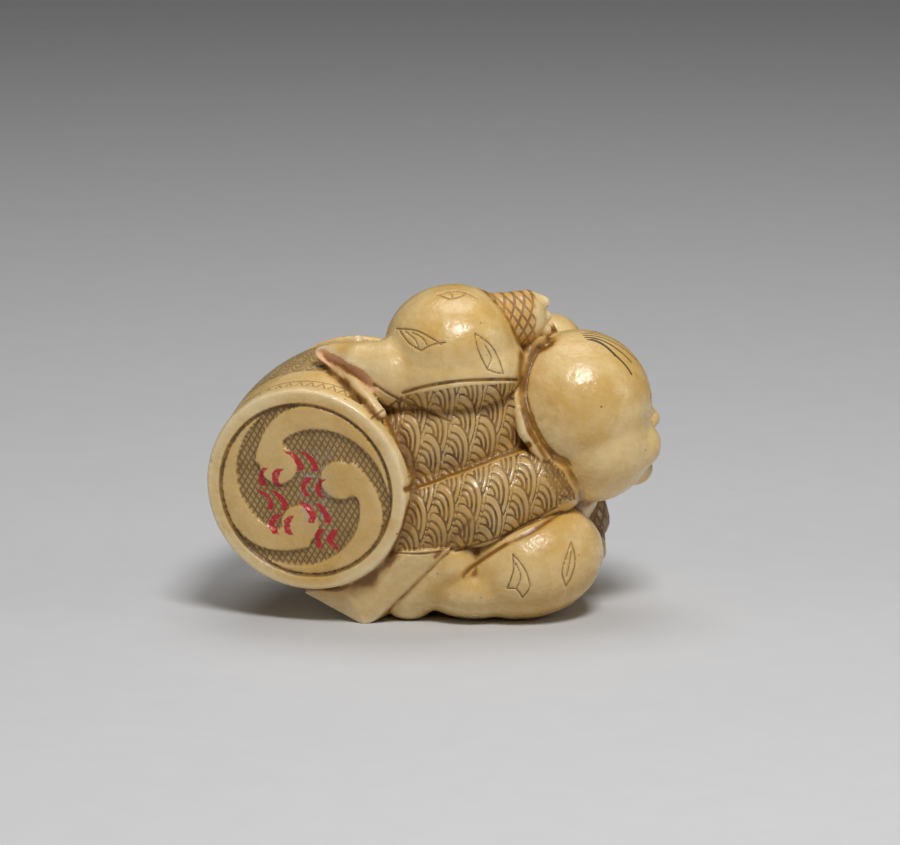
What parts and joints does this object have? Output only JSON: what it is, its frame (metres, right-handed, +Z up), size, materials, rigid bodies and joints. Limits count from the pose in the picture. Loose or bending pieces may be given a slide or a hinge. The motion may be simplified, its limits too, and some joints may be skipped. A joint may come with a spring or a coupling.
{
  "type": "netsuke",
  "caption": "Netsuke carved in one piece as a crouching child bent under a barrel drum, which rests on folded robes and has a cord tunnel in its underside.",
  "frame": {"origin": "middle of the carving's box, at the level where it rests", "axes": "+X towards the child's face, +Y to the carving's far side, +Z up"},
  "size_m": [0.0396, 0.025, 0.0294],
  "materials": {
    "ivory": "polished ivory, cream with brown stain in the engraving"
  },
  "bodies": {
    "root": {"netsuke": "ivory"}
  },
  "joints": []
}
